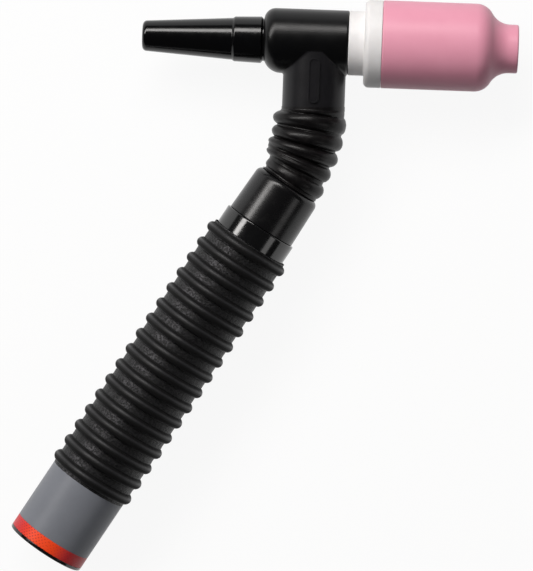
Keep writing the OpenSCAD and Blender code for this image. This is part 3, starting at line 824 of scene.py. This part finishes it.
combine(coverPiece, slotPiece(cover), "UNION")
cutRear, cutFront = cover["rear"] - cover["past"], cover["front"] + cover["past"]
boreCutter = layDown(turnPiece("cutter", cover, [
    (cutRear, "pole"),
    (cutRear, "rearBore"),
    ("coreStart", "rearBore"),
    ("coreStart", "coreBore"),
    (cutFront, "coreBore"),
    (cutFront, "pole"),
]), headPlace)
combine(coverPiece, boreCutter, "DIFFERENCE")
cutEnd = cover["stemLength"] + cover["past"]
stemCutter = layDown(turnPiece("cutter", cover, [
    ("past", "pole"),
    ("past", "stemBore"),
    (cutEnd, "stemBore"),
    (cutEnd, "pole"),
]), stemPlace)
combine(coverPiece, stemCutter, "DIFFERENCE")
editMesh(coverPiece, "SELECT")
bpy.ops.mesh.remove_doubles(threshold=0.003)  # slivers that the cuts leave
bpy.ops.mesh.dissolve_degenerate(threshold=0.001)
pointOutwards()
stopEditing()
putInPlace(coverPiece, rowPlace, 40)
coverBlack = dict(
    specular=0.26, cloudSize=7, grainSize=0.7, grainDepth=0.01,
    dark=linear(4, 4, 5), light=linear(8, 8, 9),
    stemDark=linear(19, 19, 21), stemLight=linear(28, 27, 30),
    roughness=0.31, stemRoughness=0.37, roughnessChange=0.07,
    # where the stem's greyer skin starts to fade and has gone: by mm outside its surface, and by mm
    # below the head's axis
    stemFade=(0.08, 0.2), stemTop=(3.5, 3.2),
    # the same for the pad, by mm from its middle line and below the head's axis
    plateFade=(2.1, 2.4), plateTop=(5, 4.7),
)


def coverFinish(v):
    finish = Finish("headRubber", v["specular"])
    spot = finish.coords(rowPlace)
    x, y, z = finish.split(spot)
    across = x - head.x
    fromStem = (across * across + z * z) ** 0.5
    stem = finish.step(fromStem, *(cover["stemRadius"] + out for out in v["stemFade"]), 1, 0)
    stem = stem * finish.step(y, *(head.y - down for down in v["stemTop"]), 1, 0)
    plate = finish.step(across.math("ABSOLUTE"), *v["plateFade"], 1, 0)
    plate = plate * finish.step(y, *(head.y - down for down in v["plateTop"]), 1, 0)
    stem = stem.math("MAXIMUM", plate)
    cloud = finish.noise(spot, v["cloudSize"], 4, 0.6)
    fine = finish.noise(spot, v["grainSize"], 3, 0.6)
    barrelColour = finish.mix(cloud, v["dark"], v["light"])
    stemColour = finish.mix(cloud, v["stemDark"], v["stemLight"])
    colour = finish.mix(stem, barrelColour, stemColour)
    rough = v["roughness"] + stem * (v["stemRoughness"] - v["roughness"])
    rough = rough + (cloud - 0.5) * (2 * v["roughnessChange"])
    return finish.feed(colour, rough, fine, v["grainDepth"])


standFor(coverPiece, coverFinish(coverBlack), "moulded_rubber", "head", "head_cover")
print("head cover done")

# Back cap

cap = dict(
    end=-60, endRadius=5.2, endRound=1.5, taperEnd=-28.8, taperRadius=7.25,
    collarStart=-28.1, collarRadius=7.76, collarEnd=-18.3, faceRadius=8.08, chamfer=0.58,
    noseEnd=-16.5, noseRadius=7.3, stubEnd=-6.3, stubRadius=5.6, bore=2.2, boreEnd=-57,
    middle=-45, middleShare=0.48, pole=1.2, softEdge=0.5, edge=0.3, boreEdge=0.2,
    sharpEdge=0.1,
)
capPiece = turnPiece("backCap", cap, [
    ("end", "pole"),
    ("end", "endRadius", "endRound"),
    ("middle", cap["endRadius"] + (cap["taperRadius"] - cap["endRadius"]) * cap["middleShare"]),
    ("taperEnd", "taperRadius", "softEdge"),
    ("collarStart", "collarRadius", "softEdge"),
    (cap["collarEnd"] - cap["chamfer"], "faceRadius", "sharpEdge"),
    ("collarEnd", cap["faceRadius"] - cap["chamfer"], "sharpEdge"),
    ("collarEnd", "noseRadius", "sharpEdge"),
    ("noseEnd", "noseRadius", "edge"),
    ("noseEnd", "stubRadius", "sharpEdge"),
    ("stubEnd", "stubRadius", "edge"),
    ("stubEnd", "bore", "boreEdge"),
    ("boreEnd", "bore"),
    ("boreEnd", "pole"),
], steps=6)
putInPlace(capPiece, headPlace)
capBlack = dict(
    specular=0.38, cloudSize=8, grainSize=0.9, grainDepth=0.004,
    dark=linear(2, 2, 3), light=linear(4, 4, 5), dust=0.0, dustColour=linear(60, 58, 58),
    roughness=0.17, roughnessChange=0.05,
)
standFor(capPiece, rubberFinish("capPlastic", headPlace, capBlack), "cap_plastic", "cap", "back_cap")
print("back cap done")

# Nozzle insulator and gas nozzle

ring = dict(
    start=11.4, neckRadius=11.15, collarStart=16.9, collarRadius=15.15, collarRound=1.8,
    end=23, recess=12.82, recessStart=20, bore=7.02, lowClear=0.02, highClear=0.03,
    neckEdge=0.4, edge=0.3, boreEdge=0.2, seam=14,
)
ringLow, ringHigh = ring["start"] + ring["lowClear"], ring["end"] - ring["highClear"]
ringPiece = turnPiece("nozzleInsulator", ring, [
    ("seam", "bore"),
    (ringLow, "bore", "boreEdge"),
    (ringLow, "neckRadius", "neckEdge"),
    ("collarStart", "neckRadius", "edge"),
    ("collarStart", "collarRadius", "collarRound"),
    (ringHigh, "collarRadius", "edge"),
    (ringHigh, "recess", "boreEdge"),
    ("recessStart", "recess", "boreEdge"),
    ("recessStart", "bore", "boreEdge"),
], hollow=True, steps=6)
putInPlace(ringPiece, headPlace)


ptfe = dict(
    specular=0.35, dark=linear(228, 226, 226), light=linear(240, 239, 239), cloudSize=4,
    grooveSize=0.35, grooveDepth=0.012, roughness=0.42,
)


def ptfeFinish(v):
    settings = {"Subsurface Weight": 0.15, "Subsurface Radius": (0.6, 0.55, 0.5),
                "Subsurface Scale": 0.0015}
    finish = Finish("whitePtfe", v["specular"], settings)
    spot = finish.coords(headPlace)
    turned = finish.noise(finish.stretch(spot, (0.1, 0.1, 1)), v["grooveSize"], 2)
    cloud = finish.noise(spot, v["cloudSize"], 3)
    colour = finish.mix(cloud, v["dark"], v["light"])
    rough = v["roughness"] + (turned - 0.5) * 0.15
    return finish.feed(colour, rough, turned, v["grooveDepth"])


standFor(ringPiece, ptfeFinish(ptfe), "white_ptfe", "head", "nozzle_insulator")

nozzle = dict(
    start=23, radius=15.19, shoulder=55.222, shoulderRound=6.4, slope=60, tipRound=7.2,
    shoulderEnd=67.0, tipRadius=8.4, end=70.0, endRound=0.6, seat=12.85, seatEnd=34.3,
    chamber=12.25, chamberEnd=55.2, bore=6.35, boreStart=61.365, edge=0.4, clear=0.03,
    seatEdge=0.15, mouthEdge=0.3, boreEdge=0.5, curveSteps=10, seam=40, outerLoops=(35, 45),
)


def nozzleProfile(v):
    # from the chamber back to the seat, round the open end, and along the outside to the tip
    steps = v["curveSteps"]
    turns = [math.radians(v["slope"]) * k / steps for k in range(steps + 1)]
    outside = [(v["shoulder"] + v["shoulderRound"] * math.sin(t),
                v["radius"] - v["shoulderRound"] * (1 - math.cos(t))) for t in turns]
    outside += [(v["shoulderEnd"] - v["tipRound"] * math.sin(t),
                 v["tipRadius"] + v["tipRound"] * (1 - math.cos(t))) for t in reversed(turns[:-1])]
    return [
        ("seam", "chamber"),
        ("seatEnd", "chamber", "seatEdge"),
        ("seatEnd", "seat", "seatEdge"),
        (v["start"] + v["clear"], "seat", "mouthEdge"),
        (v["start"] + v["clear"], "radius", "edge"),
        *((at, v["radius"]) for at in v["outerLoops"]),
        *outside,
        ("end", "tipRadius", "endRound"),
        ("end", "bore", "boreEdge"),
        ("boreStart", "bore", "boreEdge"),
        ("chamberEnd", "chamber", "boreEdge"),
    ]


nozzlePiece = turnPiece("gasNozzle", nozzle, nozzleProfile(nozzle), hollow=True, steps=6)
putInPlace(nozzlePiece, headPlace)


ceramic = dict(
    specular=0.4, dark=linear(229, 152, 174), light=linear(237, 162, 184),
    speckColour=linear(196, 128, 146), cloudSize=8, grainSize=0.28, speckSize=0.9, grainDepth=0.012,
    roughness=0.42,
)


def ceramicFinish(v):
    finish = Finish("pinkCeramic", v["specular"])
    spot = finish.coords(headPlace)
    grain = finish.noise(spot, v["grainSize"], 3, 0.6)
    cloud = finish.noise(spot, v["cloudSize"], 3)
    specks = finish.step(finish.cells(spot, v["speckSize"]), 0.02, 0.1, 1, 0)
    colour = finish.mix(cloud, v["dark"], v["light"])
    colour = finish.mix(specks * 0.1, colour, v["speckColour"])
    rough = v["roughness"] + (cloud - 0.5) * 0.1 + (grain - 0.5) * 0.08
    return finish.feed(colour, rough, grain, v["grainDepth"])


standFor(nozzlePiece, ceramicFinish(ceramic), "pink_ceramic", "nozzle", "gas_nozzle")
print("insulator and nozzle done")

# Inner parts keep their own shapes, but for the conduit

brassLook = dict(colour=linear(214, 178, 104), stain=linear(150, 112, 62), roughness=0.3,
                 grooveSize=0.5, stainSize=5, grooveDepth=0.02)
copperLook = dict(colour=linear(208, 132, 98), stain=linear(142, 78, 56), roughness=0.32,
                  grooveSize=0.6, stainSize=6, grooveDepth=0.015)
tungstenLook = dict(colour=linear(176, 176, 180), stain=linear(138, 138, 144), roughness=0.34,
                    grooveSize=0.35, stainSize=7, grooveDepth=0.012)


screens = dict(
    specular=0.5, pitch=0.4, gapColour=linear(40, 38, 36), wireColour=linear(188, 184, 178),
    depth=0.15, roughness=0.55,
)


def meshFinish(v):
    # woven wire
    finish = Finish("steelMesh", v["specular"])
    spot = finish.coords(headPlace)
    x, y, z = finish.split(spot)
    warp = (x * (math.pi / v["pitch"])).math("SINE").math("ABSOLUTE")
    weft = (y * (math.pi / v["pitch"])).math("SINE").math("ABSOLUTE")
    wires = finish.step(warp.math("MAXIMUM", weft), 0.55, 0.95)
    colour = finish.mix(wires, v["gapColour"], v["wireColour"])
    rough = v["roughness"] - wires * 0.2
    return finish.feed(colour, rough, wires, v["depth"], wires)


sealLook = dict(
    specular=0.5, cloudSize=3, grainSize=0.4, grainDepth=0.005,
    dark=linear(20, 20, 22), light=linear(30, 30, 32), dust=0.1, dustColour=linear(70, 68, 66),
    roughness=0.35, roughnessChange=0.1,
)
# finish: its place, its look, and the nodes that wear it
metals = {
    "brassHandle": (handlePlace, brassLook, "cable_adaptor"),
    "brassHead": (headPlace, brassLook, "head_core"),
    "copperHandle": (handlePlace, copperLook, "lower_ferrule", "conduit_lower"),
    "copperRow": (rowPlace, copperLook, "conduit_middle"),
    "copperStem": (stemPlace, copperLook, "upper_ferrule", "conduit_upper"),
    "copperHead": (headPlace, copperLook, "gas_lens_body", "screen_ring", "collet"),
    "tungsten": (headPlace, tungstenLook, "electrode"),
}
for name, (place, look, *worn) in metals.items():
    metals[name] = metalFinish(name, place, look)
    for node in worn:
        paint(nodes[node], metals[name])
paint(nodes["lens_screens"], meshFinish(screens))
paint(nodes["cap_seal"], rubberFinish("sealRubber", headPlace, sealLook))
paint(nodes["neck_bellows"], rubberFinish("softCore", rowPlace, sealLook))
print("inner parts dressed")

# The conduit's three lengths, ringed between the ferrules and curved along the neck
conduit = dict(
    radius=4.6, bore=3.0, sides=40, pitch=1.5, loopsPerPitch=8, ringDepth=0.35,
    straight=11.25, middleLow=0.35, middleHigh=0.65, chamfer=0.2, gap=0.02, boreStep=2.5,
    hold=0.05,
)


def onPath(along):
    # the conduit's middle at that distance past the shank's end, straight beyond both ends of the neck
    share = limited(along / bellows["length"])
    middle, turn = neckLoop(share)
    beyond = along - share * bellows["length"]
    return middle + Vector((-math.sin(turn), math.cos(turn), 0)) * beyond, turn


def carryAlong(start, end):
    # moves what is selected along the path
    (here, turn), (there, nextTurn) = onPath(start), onPath(end)
    bpy.ops.transform.translate(value=there - here)
    if abs(nextTurn - turn) > 1e-9:
        bpy.ops.transform.rotate(value=turn - nextTurn, orient_axis="Z", center_override=there)


def conduitProfile(v, low, high):
    # distance along the path and radius: out at the low end, up the outside, back down the bore
    outside = v["radius"] - v["chamfer"]
    loops = [(low, v["bore"]), (low, outside), (low + v["chamfer"], v["radius"])]
    step = v["pitch"] / v["loopsPerPitch"]
    for k in range(math.ceil(low / step), math.floor(high / step) + 1):
        at = k * step
        within = low + v["chamfer"] + v["hold"] < at < high - v["chamfer"] - v["hold"]
        if within and -step < at < bellows["length"] + step:
            ends = limited(min(at, bellows["length"] - at))
            wave = 0.5 - 0.5 * math.cos(2 * math.pi * k / v["loopsPerPitch"])
            loops.append((at, v["radius"] - v["ringDepth"] * wave * ends))
    loops += [(high - v["chamfer"], v["radius"]), (high, outside), (high, v["bore"])]
    count = math.ceil((high - low) / v["boreStep"])
    return loops + [(high + (low - high) * k / count, v["bore"]) for k in range(1, count)]


def conduitPiece(name, v, low, high):
    loops = conduitProfile(v, low, high)
    at, radius = loops[0]
    middle, turn = onPath(at)
    piece = startLoop(name, v["sides"], radius, middle, (math.radians(90), 0, turn))
    for nextAt, nextRadius in loops[1:]:
        bpy.ops.mesh.extrude_region()
        carryAlong(at, nextAt)
        size = nextRadius / radius
        bpy.ops.transform.resize(value=(size, size, size), center_override=onPath(nextAt)[0])
        at, radius = nextAt, nextRadius
    bridgeOpenEnds()
    pointOutwards()
    stopEditing()
    return putInPlace(piece, rowPlace, 50)


neckLength = bellows["length"]
middleLow, middleHigh = conduit["middleLow"] * neckLength, conduit["middleHigh"] * neckLength
stretches = {
    "conduit_lower": ("conduitLower", -conduit["straight"], middleLow - conduit["gap"]),
    "conduit_middle": ("conduitMiddle", middleLow, middleHigh),
    "conduit_upper": ("conduitUpper", middleHigh + conduit["gap"], neckLength + conduit["straight"]),
}
for node, (name, low, high) in stretches.items():
    piece = conduitPiece(name, conduit, low, high)
    dress(piece, metals["copperRow"])
    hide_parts(node)
    if node == "conduit_lower":
        onPath(0.5)[0] * mm
        onPath(high)[0] * mm
        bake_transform(piece)
    elif node == "conduit_upper":
        onPath(low)[0] * mm
        onPath(neckLength - 0.5)[0] * mm
        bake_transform(piece)
    else:
        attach(piece, "neck_link")
print("conduit done")

# Floor, lamps and camera, in metres

floor = dict(
    at=(0.08, 0.09, -15.82 * mm), radius=2.1, sides=96, rim=0.32, sweep=0.12, sweepSteps=8,
    glow=0.92, fibreSize=30, paperDark=(0.89, 0.89, 0.89, 1), paperLight=(0.92, 0.92, 0.92, 1),
    givenBack=(0.25, 0.25, 0.25, 1),
)
floorPiece = startLoop("floor", floor["sides"], floor["radius"], floor["at"], fill="NGON")
# its rim sweeps up into a low wall, so that a level view has paper behind it too
bpy.ops.mesh.inset(thickness=floor["sweep"] * 2)
bpy.ops.mesh.select_all(action="DESELECT")
bpy.ops.mesh.select_mode(type="EDGE")
bpy.ops.mesh.select_non_manifold()
bpy.ops.mesh.extrude_region_move(TRANSFORM_OT_translate={"value": (0, 0, floor["rim"])})
inner = (floor["radius"] - floor["sweep"]) ** 2
floorX, floorY = floor["at"][:2]
selectWhere(floorPiece, lambda co: (co.x - floorX) ** 2 + (co.y - floorY) ** 2 > inner and co.z < 0, "edges")
bpy.ops.mesh.bevel(offset=floor["sweep"], segments=floor["sweepSteps"])
stopEditing()


def floorFinish(v):
    # white to the lens, in reflections and through glass; greyer to the soft light it gives back
    finish = Finish("floorPaper", 0.1, {"Roughness": 0.9})
    spot = finish.coords(rowPlace)
    outputs = finish.add("ShaderNodeLightPath").socket.node.outputs
    camera, glossy, through = (Wire(finish, outputs[name]) for name in
                               ("Is Camera Ray", "Is Glossy Ray", "Is Transmission Ray"))
    seen = camera.math("MAXIMUM", glossy).math("MAXIMUM", through)
    fibre = finish.noise(spot, v["fibreSize"], 2)
    paper = finish.mix(fibre, v["paperDark"], v["paperLight"])
    finish.feed(finish.mix(seen, v["givenBack"], paper))
    light = finish.add("ShaderNodeEmission", sockets={"Color": (1, 1, 1, 1), "Strength": 1.0})
    sockets = {0: seen * v["glow"], 1: Wire(finish, finish.shader.outputs[0]), 2: light}
    mixed = finish.add("ShaderNodeMixShader", sockets=sockets)
    finish.tree.links.new(mixed.socket, finish.tree.nodes["Material Output"].inputs["Surface"])
    return finish.material


floorPiece.data.materials.append(floorFinish(floor))

target = Vector((0.08, 0.1, 0))  # what the lamps shine on


def facing(right, backward):
    # turned so that X runs to the right and Z backward
    return Matrix((right, backward.cross(right), backward)).transposed().to_4x4()


def lamp(name, direction, distance, width, height, radiance, colour, mirrored):
    # a soft box; its long side lies level
    away = Vector(direction).normalized()
    data = bpy.data.lights.new(name, "AREA")
    data.shape = "RECTANGLE"
    data.size, data.size_y = width, height
    data.energy = radiance * math.pi * width * height
    data.color = colour
    made = bpy.data.objects.new(name, data)
    bpy.context.collection.objects.link(made)
    across = Vector((0, 0, 1)).cross(away).normalized()
    made.matrix_world = Matrix.Translation(target + away * distance) @ facing(across, away)
    made.visible_glossy = mirrored


# name, direction from the target, distance, width, height, radiance, colour, seen in reflections
lamps = [
    ("keyStrip", (-0.42, 0.7, 0.72), 1.0, 1.2, 0.27, 11.6, (1.0, 0.975, 0.955), True),
    ("kicker", (0.637, -0.426, 0.643), 1.0, 0.34, 0.3, 1.5, (1.0, 0.98, 0.97), True),
    ("overhead", (-0.1, 0.25, 1.0), 1.8, 1.6, 1.6, 0.5, (1.0, 1.0, 1.0), False),
]
for settings in lamps:
    lamp(*settings)

surroundColour = (0.05, 0.05, 0.051, 1)
world = bpy.data.worlds.new("surround")
bpy.context.scene.world = world
world.use_nodes = True
world.node_tree.nodes["Background"].inputs["Color"].default_value = surroundColour

view = dict(
    at=(0.1086, 0.183, 1.4), aim=(0.07394, 0.09476, 0), up=(-0.0365, 0.9993, 0),
    lens=254.5,
)
cameraData = bpy.data.cameras.new("lens")
cameraData.lens = view["lens"]
camera = bpy.data.objects.new("lens", cameraData)
bpy.context.collection.objects.link(camera)
backward = (Vector(view["at"]) - Vector(view["aim"])).normalized()
right = Vector(view["up"]).cross(backward).normalized()
camera.matrix_world = Matrix.Translation(view["at"]) @ facing(right, backward)
bpy.context.scene.camera = camera
bpy.context.scene.view_settings.view_transform = "Standard"

print("stage set")
